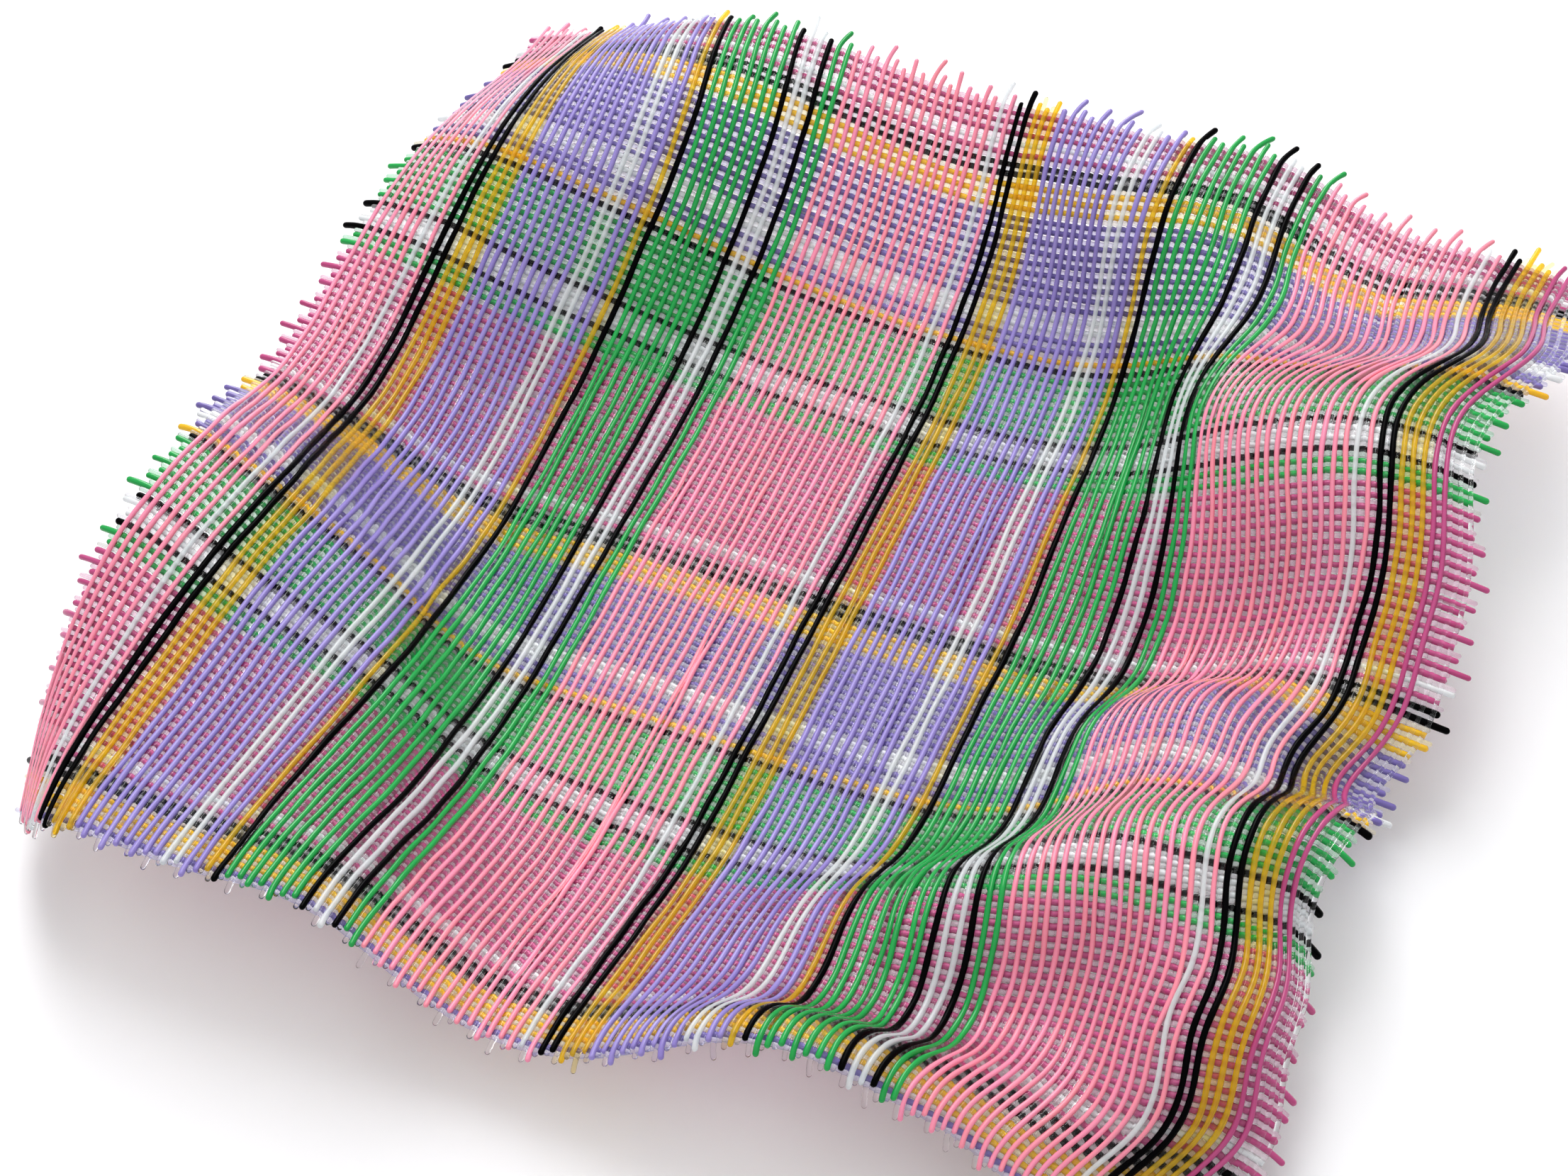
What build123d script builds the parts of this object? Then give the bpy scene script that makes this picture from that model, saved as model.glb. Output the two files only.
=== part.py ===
"""Plaid sheet of fused polymer strands, held in stiff waves.

Two crossed layers of thin round strands. The upper strands (the warp) run from the near edge to the
far edge, and the lower ones (the weft) run from side to side. In both layers coloured strands
alternate with clear ones, in the repeat of a tartan. All sizes are in millimetres.

Frame: +X along the weft, +Y along the warp from the near edge to the far edge, +Z up. The origin is
at the middle of the box's base, on the surface that the sheet rests on.
"""
from build123d import *
import math
import os

# Driving dimensions
WARP_PITCH = 2.5            # from one coloured warp strand to the next, along the sheet
WEFT_PITCH = 2.6            # from one coloured weft strand to the next, along the sheet
STRAND = 1.1                # diameter of a strand
LAYER_GAP = 0.04            # between the two layers, which are fused in the real sheet
FILM = 0.5                  # thickness of the clear weft strands, joined into one film
FILM_MARGIN = 1.2           # how far the film reaches past the outer strands
OVERHANG_MIN = 2.5          # shortest free end past the sheet's edge
OVERHANG_MAX = 8.5          # longest free end
OVERHANG_TURN = 0.618034    # share of that range by which each free end differs from the last one
WAVER = 0.2                 # how far the strands waver to each side
WAVER_LENGTH = 56.0         # length of one waver
WAVER_SHIFT = 0.02          # how far each strand's waver runs ahead of the last one's, in turns
BASE_SHIFT = (0.948, -3.165, 2.085)  # moves the waved sheet onto the part's origin

# The tartan's repeat, as (colour, number of strands)
SETT = [
    ("pink", 16), ("white", 1), ("pink", 1), ("black", 2), ("yellow", 3), ("lavender", 9),
    ("white", 2), ("lavender", 2), ("yellow", 1), ("black", 1), ("green", 7), ("black", 1),
    ("white", 2), ("black", 1), ("green", 2),
]

# Waves: height, centre along X and Y on the flat sheet, two half-widths, turn in degrees
WAVES = [
    (36, -24, 90, 37, 60, 100),
    (-34, 237, 256, 52, 31, 30),
    (36, 84, -23, 75, 32, 105),
    (36, 202, 0, 19, 36, 95),
    (58, 255, 256, 53, 81, 50),
    (15, 206, 254, 75, 19, 135),
    (-12, 74, 112, 20, 46, 30),
    (41, 66, 277, 35, 82, 135),
    (25, 279, 43, 20, 21, 110),
    (33, 273, 85, 18, 74, 115),
    (36, 263, 128, 19, 30, 110),
    (-22, 286, 128, 44, 19, 160),
    (21, 27, -4, 76, 20, 110),
]

# Steps of the drawing
LAID_STEPS = 24             # steps when the sheet's run is added up from its middle
SPANS = 11                  # pairs of arcs along a strand
FILM_POINTS = 34            # points along each side of the film
CLEAR_SECTION = 15          # clear warp strands in each clear node
NUDGE = 0.5                 # half the step that a strand's direction is measured over
STRAIGHT = 0.05             # below this turn, in degrees, an arc is drawn as a straight run

# Colours of the strands: the sheet starts and ends part-way through a repeat
REPEAT = [colour for colour, number in SETT for _ in range(number)]
RETURN = ["rose" if colour == "pink" else colour for colour in reversed(REPEAT)]
LEFT_WARP = REPEAT[10:]
RIGHT_WARP = REPEAT[:23] + ["rose", "rose"]
NEAR_WEFT = RETURN[27:]
FAR_WEFT = RETURN[:38]
WARP_WIDTH = (len(LEFT_WARP + REPEAT + RIGHT_WARP) - 1) * WARP_PITCH
WEFT_WIDTH = (len(NEAR_WEFT + RETURN + FAR_WEFT) - 1) * WEFT_PITCH
MIDDLE = (145.0, 142.5)     # the point of the flat sheet that the waves don't move sideways
STEEPEST = 0.975            # slope at which the sheet's plan length stops shrinking


def height_and_slopes(u, v):
    """Height of the sheet over the flat point (u, v), and its slopes along u and along v."""
    height = slope_u = slope_v = 0.0
    for rise, centre_u, centre_v, width_a, width_b, turn in WAVES:
        cos_turn, sin_turn = math.cos(math.radians(turn)), math.sin(math.radians(turn))
        a = ((u - centre_u) * cos_turn + (v - centre_v) * sin_turn) / width_a
        b = ((v - centre_v) * cos_turn - (u - centre_u) * sin_turn) / width_b
        here = rise * math.exp(-0.5 * (a * a + b * b))
        height += here
        slope_u += here * (b * sin_turn / width_b - a * cos_turn / width_a)
        slope_v -= here * (a * sin_turn / width_a + b * cos_turn / width_b)
    return height, slope_u, slope_v


def added_up(start, end, integrand):
    """Integral of integrand from start to end, by the midpoint rule."""
    step = (end - start) / LAID_STEPS
    return step * sum(integrand(start + (k + 0.5) * step) for k in range(LAID_STEPS))


def lean(u, v):
    """Sideways lean of the sheet where it slopes both ways."""
    _, slope_u, slope_v = height_and_slopes(u, v)
    return -0.5 * slope_u * slope_v


def level_run(slope):
    """Plan length of one unit of sheet at this slope, since the sheet doesn't stretch."""
    return math.sqrt(1 - min(abs(slope), STEEPEST) ** 2)


def sheet_point(u, v, lift):
    """Point at the flat place (u, v), lifted off the plane between the two layers."""
    height, slope_u, slope_v = height_and_slopes(u, v)
    x = added_up(MIDDLE[0], u, lambda s: level_run(height_and_slopes(s, v)[1]))
    x += added_up(MIDDLE[1], v, lambda s: lean(MIDDLE[0], s))
    y = added_up(MIDDLE[1], v, lambda s: level_run(height_and_slopes(u, s)[2]))
    y += added_up(MIDDLE[0], u, lambda s: lean(s, MIDDLE[1]))
    along_u = Vector(level_run(slope_u), 0, slope_u)
    along_v = Vector(0, level_run(slope_v), slope_v)
    normal = along_u.cross(along_v).normalized()
    return Vector(x, y, height) + normal * lift + Vector(*BASE_SHIFT)


def overhang(number, phase):
    """Length of a strand's free end: uneven, and the same on every run."""
    share = (number * OVERHANG_TURN + phase) % 1.0
    return OVERHANG_MIN + (OVERHANG_MAX - OVERHANG_MIN) * share * share


def waver(number, t):
    """Sideways waver of a strand, almost in step with its neighbours so that they don't touch."""
    return WAVER * math.sin(2 * math.pi * (t / WAVER_LENGTH + number * WAVER_SHIFT))


def arc_joint(start, start_way, end, end_way):
    """Where two arcs meet that leave start and reach end in the given directions."""
    chord = end - start
    along = chord.dot(start_way + end_way)
    spread = 2 * (1 - start_way.dot(end_way))
    reach = chord.dot(chord) / (along + math.sqrt(along * along + spread * chord.dot(chord)))
    return (start + end + (start_way - end_way) * reach) * 0.5


def add_arc(start, end, way):
    """One arc of a strand, or a straight run where it doesn't turn. Returns the way it ends."""
    chord = (end - start).normalized()
    if chord.get_angle(way) < STRAIGHT:
        Line(start, end)
        return chord
    TangentArc(start, end, tangent=way)
    return chord * (2 * chord.dot(way)) - way


def strand_solid(place, first, last):
    """One strand along place(t) from t = first to t = last, as tangent arcs with a round section."""
    stations = [first + (last - first) * k / SPANS for k in range(SPANS + 1)]
    points = [place(t) for t in stations]
    ways = [(place(t + NUDGE) - place(t - NUDGE)).normalized() for t in stations]
    with BuildPart(mode=Mode.PRIVATE) as strand:
        with BuildLine() as route:
            for k in range(SPANS):
                joint = arc_joint(points[k], ways[k], points[k + 1], ways[k + 1])
                way = add_arc(points[k], joint, ways[k])
                add_arc(joint, points[k + 1], way)
        with BuildSketch(Plane(points[0], z_dir=ways[0])):
            Circle(STRAND / 2)
        sweep()
    return strand.part


def warp_strand(number):
    """Upper strand; a half number is the clear strand between two coloured ones."""
    u = number * WARP_PITCH
    lift = (STRAND + LAYER_GAP) / 2
    near, far = -overhang(number, 0.1), WEFT_WIDTH + overhang(number, 0.7)
    return strand_solid(lambda t: sheet_point(u + waver(number, t), t, lift), near, far)


def weft_strand(number):
    """Lower strand."""
    v = number * WEFT_PITCH
    lift = -(STRAND + LAYER_GAP) / 2
    left, right = -overhang(number, 0.4), WARP_WIDTH + overhang(number, 0.9)
    return strand_solid(lambda t: sheet_point(t, v + waver(number, t), lift), left, right)


def write_group(name, strand_maker, numbers):
    """One node: a group of separate strands."""
    strands = [strand_maker(number) for number in numbers]
    with BuildPart() as group:
        add(strands)
    group.part.label = name
    export_step(group.part, f"parts/{name}.step")
    return group.part.bounding_box()


def write_layer(layer, sections, strand_maker):
    """All coloured strands of one layer, one node for each colour of each section."""
    boxes = []
    first = 0
    for section, colours in sections.items():
        for colour in sorted(set(colours)):
            numbers = [first + k for k, each in enumerate(colours) if each == colour]
            boxes.append(write_group(f"{layer}_{section}_{colour}", strand_maker, numbers))
        first += len(colours)
    return boxes


def clear_film():
    """Clear weft strands, joined into one thin film under the coloured ones."""
    lift = -STRAND - LAYER_GAP * 2
    rows = []
    for row in range(FILM_POINTS):
        v = -FILM_MARGIN + (WEFT_WIDTH + 2 * FILM_MARGIN) * row / (FILM_POINTS - 1)
        columns = [-FILM_MARGIN + (WARP_WIDTH + 2 * FILM_MARGIN) * k / (FILM_POINTS - 1)
                   for k in range(FILM_POINTS)]
        rows.append([sheet_point(u, v, lift) for u in columns])
    top = Face.make_surface_from_array_of_points(rows)
    with BuildPart() as film:
        thicken(top, amount=FILM, normal_override=(0, 0, -1))
    film.part.label = "weft_clear_film"
    export_step(film.part, "parts/weft_clear_film.step")
    return film.part.bounding_box()


os.makedirs("parts", exist_ok=True)
boxes = write_layer("warp", {"left": LEFT_WARP, "middle": REPEAT, "right": RIGHT_WARP}, warp_strand)
boxes += write_layer("weft", {"near": NEAR_WEFT, "middle": RETURN, "far": FAR_WEFT}, weft_strand)
clear_numbers = [k + 0.5 for k in range(len(LEFT_WARP + REPEAT + RIGHT_WARP))]
for first in range(0, len(clear_numbers), CLEAR_SECTION):
    numbers = clear_numbers[first:first + CLEAR_SECTION]
    boxes.append(write_group(f"warp_clear_{first // CLEAR_SECTION + 1}", warp_strand, numbers))
boxes.append(clear_film())
low = [min(getattr(box.min, axis) for box in boxes) for axis in "XYZ"]
high = [max(getattr(box.max, axis) for box in boxes) for axis in "XYZ"]
print("box from", [round(value, 3) for value in low], "to", [round(value, 3) for value in high])
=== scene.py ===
"""Looks of the plaid sheet: two crossed layers of wobbly, glossy polymer strands in stiff waves."""
import math
import bpy
import numpy as np
from mathutils import Matrix, Vector


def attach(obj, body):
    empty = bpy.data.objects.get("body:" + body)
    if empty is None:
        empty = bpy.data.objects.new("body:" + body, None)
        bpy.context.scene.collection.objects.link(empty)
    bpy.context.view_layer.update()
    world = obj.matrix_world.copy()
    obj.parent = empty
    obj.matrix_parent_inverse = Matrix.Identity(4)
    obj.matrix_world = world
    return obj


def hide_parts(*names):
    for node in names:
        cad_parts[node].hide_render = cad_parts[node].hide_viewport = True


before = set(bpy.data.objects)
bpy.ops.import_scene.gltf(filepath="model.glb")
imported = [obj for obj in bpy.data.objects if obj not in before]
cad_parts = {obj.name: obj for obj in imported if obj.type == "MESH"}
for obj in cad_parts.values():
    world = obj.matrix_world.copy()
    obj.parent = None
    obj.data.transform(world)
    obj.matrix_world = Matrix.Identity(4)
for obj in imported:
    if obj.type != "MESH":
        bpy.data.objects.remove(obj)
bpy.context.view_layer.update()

MM = 0.001
SEED = 11
rng = np.random.default_rng(SEED)

# The sheet, as in the CAD model (millimetres)
WARP_PITCH = 2.5
WEFT_PITCH = 2.6
BASE_SHIFT = np.array([0.948, -3.165, 2.085])
MIDDLE = (145.0, 142.5)     # the point that the waves don't move sideways
STEEPEST = 0.975            # slope at which the sheet's plan length stops shrinking
OVERHANG_MIN = 2.5          # shortest free end past the sheet's edge
OVERHANG_MAX = 8.5          # longest free end
OVERHANG_TURN = 0.618034    # share of that range by which each free end differs from the last one
SETT = [
    ("pink", 16), ("white", 1), ("pink", 1), ("black", 2), ("yellow", 3), ("lavender", 9),
    ("white", 2), ("lavender", 2), ("yellow", 1), ("black", 1), ("green", 7), ("black", 1),
    ("white", 2), ("black", 1), ("green", 2),
]
# height, centre along X and Y on the flat sheet, two half-widths, turn in degrees
WAVES = [
    (36, -24, 90, 37, 60, 100),
    (-34, 237, 256, 52, 31, 30),
    (36, 84, -23, 75, 32, 105),
    (36, 202, 0, 19, 36, 95),
    (58, 255, 256, 53, 81, 50),
    (15, 206, 254, 75, 19, 135),
    (-12, 74, 112, 20, 46, 30),
    (41, 66, 277, 35, 82, 135),
    (25, 279, 43, 20, 21, 110),
    (33, 273, 85, 18, 74, 115),
    (36, 263, 128, 19, 30, 110),
    (-22, 286, 128, 44, 19, 160),
    (21, 27, -4, 76, 20, 110),
]
REPEAT = [colour for colour, number in SETT for _ in range(number)]
RETURN = ["rose" if colour == "pink" else colour for colour in reversed(REPEAT)]
WARP = {"left": REPEAT[10:], "middle": REPEAT, "right": REPEAT[:23] + ["rose", "rose"]}
WEFT = {"near": RETURN[27:], "middle": RETURN, "far": RETURN[:38]}
WARP_COUNT = sum(len(colours) for colours in WARP.values())
WEFT_COUNT = sum(len(colours) for colours in WEFT.values())
WARP_WIDTH = (WARP_COUNT - 1) * WARP_PITCH
WEFT_WIDTH = (WEFT_COUNT - 1) * WEFT_PITCH

# Strands (lengths in millimetres)
SIDES = 10                  # sides of a strand's section
STEP = 1.3                  # length of one mesh cell along a strand
CAP_RINGS = 4               # rings in a rounded end
FUSED = 0.12                # how far the two layers are pressed into each other
BORDER = 16                 # how far the sheet's surface is worked out past its edges
GRID = 1.0                  # cell of the table that the sheet's points are read from
CAP_MIN = 0.02              # how full the last ring of a rounded end is
SPREAD = (0.94, 1.06)       # range of the strands' thickness, as a share of their diameter
BEND_SPREAD = 0.7           # how unevenly the free ends bend
WAVER_LENGTHS = (95, 47, 21)    # wavelengths of a strand's sideways waver
SWELL = 0.035               # how much a strand's thickness comes and goes along it
SWELL_LENGTHS = (33, 13, 7)     # wavelengths of that
PULL_CHANCE = 0.45          # how often two neighbouring strands lean together
PULL_REACH = (5, 22)        # length over which they do
PULL_SHIFT = (0.15, 0.45)   # how far each of them moves
FAR_MORE = 4.0              # how much longer the weft's ends are on the right than in the CAD model


def height_and_slopes(u, v):
    """Height of the sheet over flat points, and its slopes along u and v."""
    height = np.zeros(np.broadcast(u, v).shape)
    slope_u = np.zeros_like(height)
    slope_v = np.zeros_like(height)
    for rise, centre_u, centre_v, width_a, width_b, turn in WAVES:
        cos_turn, sin_turn = math.cos(math.radians(turn)), math.sin(math.radians(turn))
        a = ((u - centre_u) * cos_turn + (v - centre_v) * sin_turn) / width_a
        b = ((v - centre_v) * cos_turn - (u - centre_u) * sin_turn) / width_b
        here = rise * np.exp(-0.5 * (a * a + b * b))
        height += here
        slope_u += here * (b * sin_turn / width_b - a * cos_turn / width_a)
        slope_v -= here * (a * sin_turn / width_a + b * cos_turn / width_b)
    return height, slope_u, slope_v


def level_run(slope):
    """Plan length of one unit of sheet at this slope."""
    return np.sqrt(1 - np.minimum(np.abs(slope), STEEPEST) ** 2)


def run_from_middle(values, axis, knots, middle):
    """Running integral of values along an axis, zero at the middle."""
    values = np.moveaxis(values, axis, 0)
    steps = (values[1:] + values[:-1]) * 0.5 * (knots[1] - knots[0])
    total = np.concatenate([np.zeros((1,) + values.shape[1:]), np.cumsum(steps, axis=0)])
    place = (middle - knots[0]) / (knots[1] - knots[0])
    low = int(place)
    at_middle = total[low] * (low + 1 - place) + total[low + 1] * (place - low)
    return np.moveaxis(total - at_middle, 0, axis)


def plan_table():
    """X and Y of the sheet's points on a regular grid of the flat sheet."""
    u = np.arange(-BORDER, WARP_WIDTH + BORDER, GRID)
    v = np.arange(-BORDER, WEFT_WIDTH + BORDER, GRID)
    flat_u, flat_v = np.meshgrid(u, v, indexing="ij")
    height, slope_u, slope_v = height_and_slopes(flat_u, flat_v)
    x = run_from_middle(level_run(slope_u), 0, u, MIDDLE[0])
    y = run_from_middle(level_run(slope_v), 1, v, MIDDLE[1])
    lean = -0.5 * slope_u * slope_v
    middle_row = int(round((MIDDLE[0] - u[0]) / GRID))
    middle_column = int(round((MIDDLE[1] - v[0]) / GRID))
    x += run_from_middle(lean[middle_row], 0, v, MIDDLE[1])[None, :]
    y += run_from_middle(lean[:, middle_column], 0, u, MIDDLE[0])[:, None]
    return u[0], v[0], x, y


U_START, V_START, PLAN_X, PLAN_Y = plan_table()


def read_table(table, u, v):
    """Bilinear reading of a grid table."""
    a, b = (u - U_START) / GRID, (v - V_START) / GRID
    i = np.clip(a.astype(int), 0, table.shape[0] - 2)
    j = np.clip(b.astype(int), 0, table.shape[1] - 2)
    a, b = a - i, b - j
    near = table[i, j] * (1 - b) + table[i, j + 1] * b
    far = table[i + 1, j] * (1 - b) + table[i + 1, j + 1] * b
    return near * (1 - a) + far * a


def unit(vectors):
    return vectors / np.linalg.norm(vectors, axis=-1, keepdims=True)


def sheet_points(u, v):
    """Points of the sheet's middle plane and its normals there."""
    height, slope_u, slope_v = height_and_slopes(u, v)
    points = np.stack([read_table(PLAN_X, u, v), read_table(PLAN_Y, u, v), height], axis=-1)
    level = np.zeros_like(slope_u)
    along_u = np.stack([level_run(slope_u), level, slope_u], axis=-1)
    along_v = np.stack([level, level_run(slope_v), slope_v], axis=-1)
    return points + BASE_SHIFT, unit(np.cross(along_u, along_v))


def overhang(number, phase):
    """Length of a strand's free end, as in the CAD model."""
    share = (number * OVERHANG_TURN + phase) % 1.0
    return OVERHANG_MIN + (OVERHANG_MAX - OVERHANG_MIN) * share * share


def ripple(t, size, lengths):
    """Smooth random waver along a strand: a sum of sines with these wavelengths."""
    total = np.zeros_like(t)
    for length in lengths:
        turn = 2 * math.pi * (t / (length * rng.uniform(0.8, 1.25)) + rng.random())
        total += np.sin(turn) * size * rng.uniform(0.4, 1.0)
    return total


def stations(first, last, radius):
    """Places of a strand's rings, and how full each ring is, with rounded ends."""
    turns = np.linspace(0, math.pi / 2, CAP_RINGS + 1)
    cap, fullness = radius * (1 - np.cos(turns)), np.sin(turns)
    body = np.linspace(first + radius, last - radius, max(2, round((last - first) / STEP)))
    t = np.concatenate([first + cap[:-1], body, (last - cap[:-1])[::-1]])
    full = np.concatenate([fullness[:-1], np.ones(len(body)), fullness[:-1][::-1]])
    return t, np.maximum(full, CAP_MIN)


class Layer:
    """One of the two layers: where its strands run and how their free ends bend."""

    def __init__(self, along_v, width, side, droop, lean):
        self.along_v = along_v      # True for the warp
        self.width = width          # length of the sheet along the strands
        self.side = side            # +1 for the upper layer
        self.droop = droop          # rise of the ends per squared millimetre: start, finish
        self.lean = lean            # sideways bend of the ends, the same way

    def centre_line(self, across, t, lift):
        """Points along a strand, lifted off the sheet's middle plane, and the normals there."""
        if self.along_v:
            points, normals = sheet_points(across, t)
        else:
            points, normals = sheet_points(t, across)
        return points + normals * (self.side * lift), normals


WARP_LAYER = Layer(True, WEFT_WIDTH, 1, (-0.02, 0.015), (0.01, 0.02))
WEFT_LAYER = Layer(False, WARP_WIDTH, -1, (-0.01, 0.0), (0.0, 0.0))


def strand(layer, number, pitch, diameter, waver, starts, ends, nudges=()):
    """Rings of one strand: an array of rings by sides by 3, in millimetres."""
    radius = diameter / 2 * rng.uniform(*SPREAD)
    t, full = stations(starts, ends, radius)
    across = number * pitch + ripple(t, waver, WAVER_LENGTHS)
    for place, reach, shift in nudges:
        across = across + shift * np.exp(-0.5 * ((t - place) / reach) ** 2)
    width = radius * (1 + ripple(t, SWELL, SWELL_LENGTHS))
    past_start, past_end = np.maximum(0, -t), np.maximum(0, t - layer.width)
    bend = [rng.normal(1, BEND_SPREAD) for _ in range(4)]
    lean = layer.lean[0] * bend[0] * past_start ** 2 + layer.lean[1] * bend[1] * past_end ** 2
    points, normals = layer.centre_line(across + lean, t, (diameter - FUSED) / 2)
    droop = layer.droop[0] * bend[2] * past_start ** 2 + layer.droop[1] * bend[3] * past_end ** 2
    points = points + normals * droop[:, None]
    points[:, 2] = np.maximum(points[:, 2], radius)
    ways = unit(np.gradient(points, t, axis=0))
    aside = unit(np.cross(normals, ways))
    above = np.cross(ways, aside)
    turns = np.arange(SIDES) * 2 * math.pi / SIDES
    ring = aside[:, None] * np.cos(turns)[:, None] + above[:, None] * np.sin(turns)[:, None]
    return points[:, None] + ring * (width * full)[:, None, None]


def piece_from_strands(name, rings, tones, painted_tints, material, nodes):
    """One mesh piece made of separate closed strands, each with its own tone and its own painted tint,
    a painted colour bleed from its neighbours.
    """
    vertices, quads, caps, shades, painted_tinges = [], [], [], [], []
    base = 0
    for strand_rings, tone, painted_tint in zip(rings, tones, painted_tints):
        count = len(strand_rings)
        vertices.append(strand_rings.reshape(-1, 3))
        index = base + np.arange(count * SIDES).reshape(count, SIDES)
        nxt = np.roll(index, -1, axis=1)
        quads.append(np.stack([index[:-1], nxt[:-1], nxt[1:], index[1:]], axis=-1).reshape(-1, 4))
        caps += [index[0, ::-1], index[-1]]
        base += count * SIDES
        shades.append(np.full(count * SIDES, tone))
        painted_tinges.append(np.tile(painted_tint, (count * SIDES, 1)))
    vertices = np.concatenate(vertices) * MM
    quads = np.concatenate(quads)
    mesh = bpy.data.meshes.new(name)
    mesh.vertices.add(len(vertices))
    mesh.vertices.foreach_set("co", vertices.ravel())
    corners = np.concatenate([quads.ravel(), np.array(caps).ravel()])
    sizes = np.concatenate([np.full(len(quads), 4), np.full(len(caps), SIDES)])
    mesh.loops.add(len(corners))
    mesh.loops.foreach_set("vertex_index", corners.astype(np.int32))
    mesh.polygons.add(len(sizes))
    starts = np.concatenate([[0], np.cumsum(sizes)[:-1]])
    mesh.polygons.foreach_set("loop_start", starts.astype(np.int32))
    mesh.update(calc_edges=True)
    mesh.validate()
    mesh.shade_smooth()
    tone_layer = mesh.attributes.new("tone", "FLOAT", "POINT")
    tone_layer.data.foreach_set("value", np.concatenate(shades).astype(np.float32))
    # Painted colour bleed: a colour per point that multiplies the base colour
    painted_tint_layer = mesh.attributes.new("painted_tint", "FLOAT_COLOR", "POINT")
    painted_tint_layer.data.foreach_set("color", np.concatenate(painted_tinges).astype(np.float32).ravel())
    mesh.materials.append(material)
    piece = bpy.data.objects.new(name, mesh)
    bpy.context.scene.collection.objects.link(piece)
    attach(piece, "root")
    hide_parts(*nodes)
    return piece


def linear(code):
    """Linear colour from a six-digit sRGB code."""
    parts = [int(code[k:k + 2], 16) / 255 for k in (0, 2, 4)]
    return [p / 12.92 if p <= 0.04045 else ((p + 0.055) / 1.055) ** 2.4 for p in parts] + [1.0]


def noise(tree, vector, scale, detail=2.0):
    """Factor socket of a noise texture on the given coordinates."""
    texture = tree.nodes.new("ShaderNodeTexNoise")
    texture.inputs["Scale"].default_value = scale
    texture.inputs["Detail"].default_value = detail
    tree.links.new(vector, texture.inputs["Vector"])
    return texture.outputs["Fac"]


def spread(tree, factor, low, high):
    """Factor socket stretched to run from low to high."""
    node = tree.nodes.new("ShaderNodeMapRange")
    node.inputs["From Min"].default_value = 0.3
    node.inputs["From Max"].default_value = 0.7
    node.inputs["To Min"].default_value = low
    node.inputs["To Max"].default_value = high
    tree.links.new(factor, node.inputs["Value"])
    return node.outputs["Result"]


def polymer(name, low, high, rough, clear=0.0, ior=1.5, shine=0.5):
    """Glossy polymer: two tones that drift along and between strands, uneven gloss, a fine ripple, and
    a painted tint multiplied in (painted colour bleed on clear strands).
    """
    material = bpy.data.materials.new(name)
    material.use_nodes = True
    tree = material.node_tree
    nodes, links = tree.nodes, tree.links
    shader = nodes["Principled BSDF"]
    shader.inputs["IOR"].default_value = ior
    shader.inputs["Transmission Weight"].default_value = clear
    shader.inputs["Specular IOR Level"].default_value = shine
    place = nodes.new("ShaderNodeTexCoord").outputs["Object"]
    tone = nodes.new("ShaderNodeAttribute")
    tone.attribute_name = "tone"
    blend = nodes.new("ShaderNodeMath")
    blend.operation = "ADD"
    links.new(spread(tree, noise(tree, place, 90), -0.1, 0.5), blend.inputs[0])
    links.new(tone.outputs["Fac"], blend.inputs[1])
    mix = nodes.new("ShaderNodeMix")
    mix.data_type = "RGBA"
    mix.inputs["A"].default_value = linear(low)
    mix.inputs["B"].default_value = linear(high)
    links.new(blend.outputs[0], mix.inputs["Factor"])
    # Painted colour bleed: the tint attribute multiplies the base colour, white on coloured strands,
    # the neighbours' colour on clear ones
    painted_tint = nodes.new("ShaderNodeAttribute")
    painted_tint.attribute_name = "painted_tint"
    painted_tint_mix = nodes.new("ShaderNodeMix")
    painted_tint_mix.data_type = "RGBA"
    painted_tint_mix.blend_type = "MULTIPLY"
    painted_tint_mix.inputs["Factor"].default_value = 1.0
    links.new(mix.outputs["Result"], painted_tint_mix.inputs["A"])
    links.new(painted_tint.outputs["Color"], painted_tint_mix.inputs["B"])
    links.new(painted_tint_mix.outputs["Result"], shader.inputs["Base Color"])
    gloss = spread(tree, noise(tree, place, 260), rough * 0.6, rough * 1.7)
    links.new(gloss, shader.inputs["Roughness"])
    ripples = nodes.new("ShaderNodeBump")
    ripples.inputs["Strength"].default_value = 0.35
    ripples.inputs["Distance"].default_value = 0.00012
    links.new(noise(tree, place, 750, 3.0), ripples.inputs["Height"])
    links.new(ripples.outputs["Normal"], shader.inputs["Normal"])
    return material


MATERIALS = {
    "pink": polymer("pink_polymer", "F88E9E", "F48EAE", 0.15, shine=0.45),
    "rose": polymer("rose_polymer", "B03C72", "BC4C82", 0.16, shine=0.4),
    "green": polymer("green_polymer", "0A9440", "1AA64C", 0.13, shine=0.4),
    "lavender": polymer("lavender_polymer", "8A7AC2", "9A8CCE", 0.16, shine=0.4),
    # Painted shade: the weft's lavender is the warp's lavender made darker, standing in for the shade
    # under the upper layer and the clear warp
    "weft_lavender": polymer("lavender_polymer_low_painted_shade", "685A9E", "786AAE", 0.12, shine=0.45),
    "yellow": polymer("yellow_polymer", "FFC408", "FFD220", 0.1, 0.35),
    "warp_yellow": polymer("yellow_polymer_top", "FFD01C", "FFDC38", 0.12, 0.7, 1.36),
    "white": polymer("white_polymer", "F0F4F6", "FCFEFF", 0.12, 0.4),
    "warp_white": polymer("white_polymer_top", "EEF4F6", "FCFEFF", 0.12, 0.5, 1.4),
    "black": polymer("black_polymer", "000000", "020103", 0.22, ior=1.3, shine=0.08),
    "clear_warp": polymer("clear_polymer", "FCFDFE", "FFFFFF", 0.03, 1.0, 1.33),
    "clear_weft": polymer("clear_polymer_low", "F8F9FA", "FEFEFF", 0.05, 0.8, 1.36),
}
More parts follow.
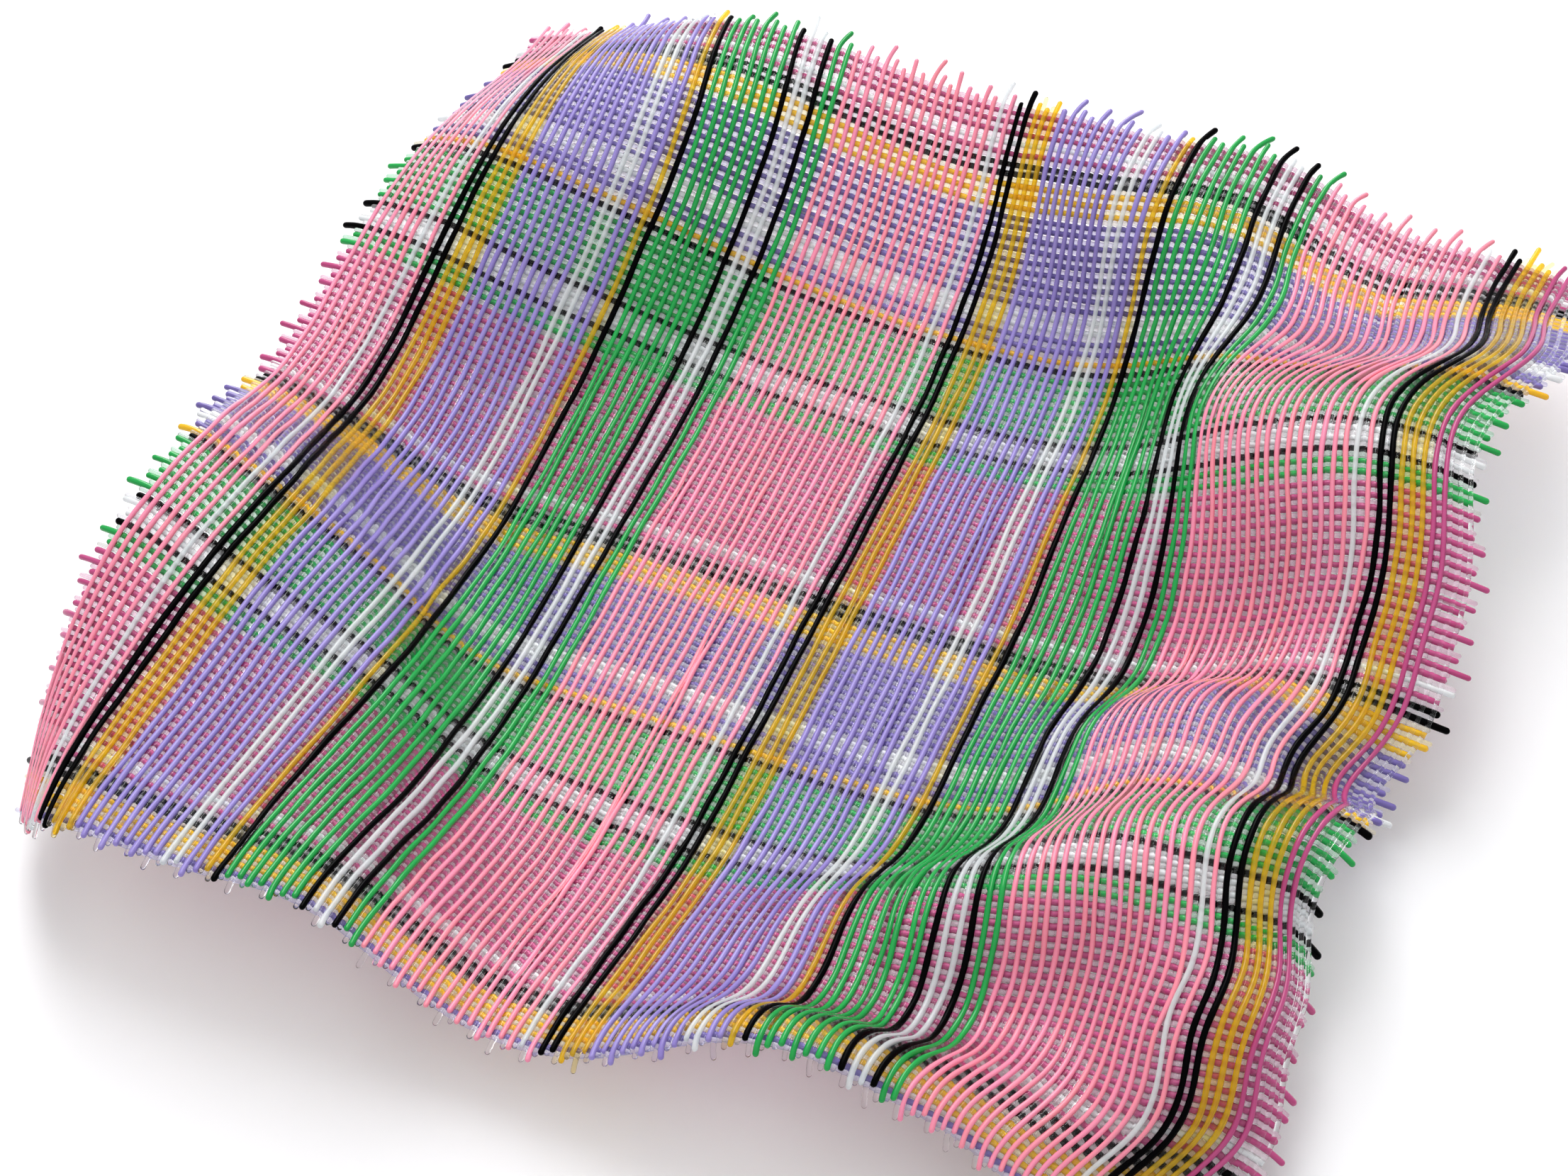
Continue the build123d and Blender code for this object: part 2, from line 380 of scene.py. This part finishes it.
# Painted colour bleed: the colour that a clear strand shows by refraction and reflection of a coloured
# one beside it, painted into its base colour
PAINTED_BLEED_TINTS = {
    "clear_weft": {
        "pink": (0.98, 0.78, 0.82), "rose": (0.88, 0.68, 0.77), "green": (0.66, 0.87, 0.72),
        "lavender": (0.78, 0.76, 0.9), "yellow": (1.0, 0.92, 0.65), "black": (0.75, 0.74, 0.76),
    },
    "clear_warp": {"yellow": (1.0, 0.91, 0.5), "lavender": (0.95, 0.94, 0.99)},
}
# Diameters (millimetres)
WARP_THICKNESS = {"black": 1.45, "green": 1.34, "lavender": 1.34, "pink": 1.22, "white": 1.34,
                  "yellow": 1.34, "rose": 1.3}
WEFT_THICKNESS = {"black": 1.75, "green": 1.45, "lavender": 1.45, "rose": 1.45, "white": 1.45,
                  "yellow": 1.5}


def pulls(count, length):
    """Places where neighbouring strands lean together and touch."""
    bumps = [[] for _ in range(count)]
    for k in range(count - 1):
        while rng.random() < PULL_CHANCE:
            place, reach = rng.uniform(0, length), rng.uniform(*PULL_REACH)
            shift = rng.uniform(*PULL_SHIFT)
            bumps[k].append((place, reach, shift))
            bumps[k + 1].append((place, reach, -shift))
    return bumps


def coloured_pieces(prefix, layer, sections, pitch, waver, phases, shorten, more):
    """The coloured strands of one layer, a piece for each colour of each section."""
    first = 0
    total = sum(len(colours) for colours in sections.values())
    bumps = pulls(total, layer.width)
    for section, colours in sections.items():
        for colour in sorted(set(colours)):
            diameter = (WARP_THICKNESS if layer is WARP_LAYER else WEFT_THICKNESS)[colour]
            rings, tones, painted_tints = [], [], []
            for k, each in enumerate(colours):
                if each != colour:
                    continue
                number = first + k
                starts = -shorten * overhang(number, phases[0])
                ends = layer.width + overhang(number, phases[1]) + more
                rings.append(strand(layer, number, pitch, diameter, waver, starts, ends, bumps[number]))
                tones.append(rng.random() * 0.7 - 0.1)
                # No painted colour bleed on coloured strands
                painted_tints.append((1, 1, 1, 1))
            name = f"{prefix}_{section}_{colour}"
            material = MATERIALS.get(f"{prefix}_{colour}", MATERIALS[colour])
            piece_from_strands(f"strands_{name}", rings, tones, painted_tints, material, [name])
        first += len(colours)


def painted_bleed_tint(painted_tints, colours, number):
    """Painted tint standing in for the colour that a clear strand shows by refraction of the coloured
    strands on both sides of it.
    """
    beside = [colours[min(max(round(k), 0), len(colours) - 1)] for k in (number - 0.5, number + 0.5)]
    return tuple(np.mean([painted_tints.get(colour, (1, 1, 1)) for colour in beside], axis=0)) + (1.0,)


def clear_pieces(prefix, layer, colours, numbers, pitch, diameter, waver, more, group, nodes):
    """The clear strands of one layer."""
    for k in range(0, len(numbers), group):
        rings, tones, painted_tints = [], [], []
        for number in numbers[k:k + group]:
            starts = -1.0 - 0.6 * overhang(number, 0.3)
            ends = layer.width + 1.0 + 0.6 * overhang(number, 0.8) + more
            rings.append(strand(layer, number, pitch, diameter, waver, starts, ends))
            tones.append(rng.random())
            # Painted colour bleed from the coloured strands on both sides
            painted_tints.append(painted_bleed_tint(PAINTED_BLEED_TINTS[prefix], colours, number))
        part = k // group
        name = f"strands_{prefix}_{part + 1}"
        piece = piece_from_strands(name, rings, tones, painted_tints, MATERIALS[prefix], nodes(part))
        piece.visible_shadow = False


coloured_pieces("warp", WARP_LAYER, WARP, WARP_PITCH, 0.13, (0.1, 0.7), 0.6, 0)
coloured_pieces("weft", WEFT_LAYER, WEFT, WEFT_PITCH, 0.1, (0.4, 0.9), 1.0, FAR_MORE)
WARP_COLOURS = [colour for colours in WARP.values() for colour in colours]
WEFT_COLOURS = [colour for colours in WEFT.values() for colour in colours]
CLEAR_WARP = [k + 0.5 for k in range(WARP_COUNT + 2)]
CLEAR_WEFT = [k - 0.5 for k in range(WEFT_COUNT + 1)]
clear_pieces("clear_warp", WARP_LAYER, WARP_COLOURS, CLEAR_WARP, WARP_PITCH, 1.2, 0.06, 0, 15,
             lambda part: [f"warp_clear_{part + 1}"])
clear_pieces("clear_weft", WEFT_LAYER, WEFT_COLOURS, CLEAR_WEFT, WEFT_PITCH, 1.14, 0.05, FAR_MORE, 24,
             lambda part: ["weft_clear_film"])


def floor():
    """Plain pale floor."""
    mesh = bpy.data.meshes.new("floor")
    reach = 3.0
    mesh.from_pydata([(-reach, -reach, 0), (reach, -reach, 0), (reach, reach, 0), (-reach, reach, 0)],
                     [], [(0, 1, 2, 3)])
    material = bpy.data.materials.new("floor")
    material.use_nodes = True
    shader = material.node_tree.nodes["Principled BSDF"]
    shader.inputs["Base Color"].default_value = (0.95, 0.95, 0.965, 1)
    shader.inputs["Roughness"].default_value = 0.8
    mesh.materials.append(material)
    plane = bpy.data.objects.new("floor", mesh)
    bpy.context.scene.collection.objects.link(plane)


def area_light(name, spot, width, length, power):
    """Soft oblong light that faces the sheet, its length running from low behind to overhead."""
    light = bpy.data.lights.new(name, "AREA")
    light.shape = "RECTANGLE"
    light.size = width
    light.size_y = length
    light.energy = power
    lamp = bpy.data.objects.new(name, light)
    lamp.location = spot
    lamp.rotation_euler = (-Vector(spot)).to_track_quat("-Z", "Y").to_euler()
    bpy.context.scene.collection.objects.link(lamp)


def lights():
    """A studio sky that is bright overhead and dimmer low down, and one long soft box behind."""
    world = bpy.data.worlds.new("studio")
    world.use_nodes = True
    nodes, links = world.node_tree.nodes, world.node_tree.links
    place = nodes.new("ShaderNodeTexCoord")
    split = nodes.new("ShaderNodeSeparateXYZ")
    ramp = nodes.new("ShaderNodeValToRGB")
    ramp.color_ramp.elements[0].position = 0.0
    ramp.color_ramp.elements[0].color = (0.5, 0.5, 0.52, 1)
    ramp.color_ramp.elements[1].position = 0.75
    ramp.color_ramp.elements[1].color = (1, 1, 1, 1)
    links.new(place.outputs["Generated"], split.inputs["Vector"])
    links.new(split.outputs["Z"], ramp.inputs["Fac"])
    links.new(ramp.outputs["Color"], nodes["Background"].inputs["Color"])
    nodes["Background"].inputs["Strength"].default_value = 0.84
    bpy.context.scene.world = world
    area_light("soft_box", (-0.5, 0.85, 1.05), 0.55, 1.7, 20)


def camera():
    """Camera high over the near right corner, with a long lens."""
    turn, dip, roll = math.radians(25.21), math.radians(50.37), math.radians(2.84)
    flat = Vector((-math.sin(turn), math.cos(turn), 0))
    look = flat * math.cos(dip) - Vector((0, 0, math.sin(dip)))
    right = Vector((math.cos(turn), math.sin(turn), 0))
    up = right.cross(look)
    rolled_right = right * math.cos(roll) - up * math.sin(roll)
    rolled_up = right * math.sin(roll) + up * math.cos(roll)
    lens = bpy.data.cameras.new("camera")
    lens.lens = 80.0
    lens.sensor_width = 36.0
    lens.clip_start = 0.05
    lens.clip_end = 20
    eye = bpy.data.objects.new("camera", lens)
    spot = Vector((0.2175, -0.4737, 0.6350))
    axes = Matrix((rolled_right, rolled_up, -look)).transposed()
    eye.matrix_world = Matrix.Translation(spot) @ axes.to_4x4()
    bpy.context.scene.collection.objects.link(eye)
    bpy.context.scene.camera = eye


floor()
lights()
camera()
bpy.context.scene.view_settings.view_transform = "Standard"
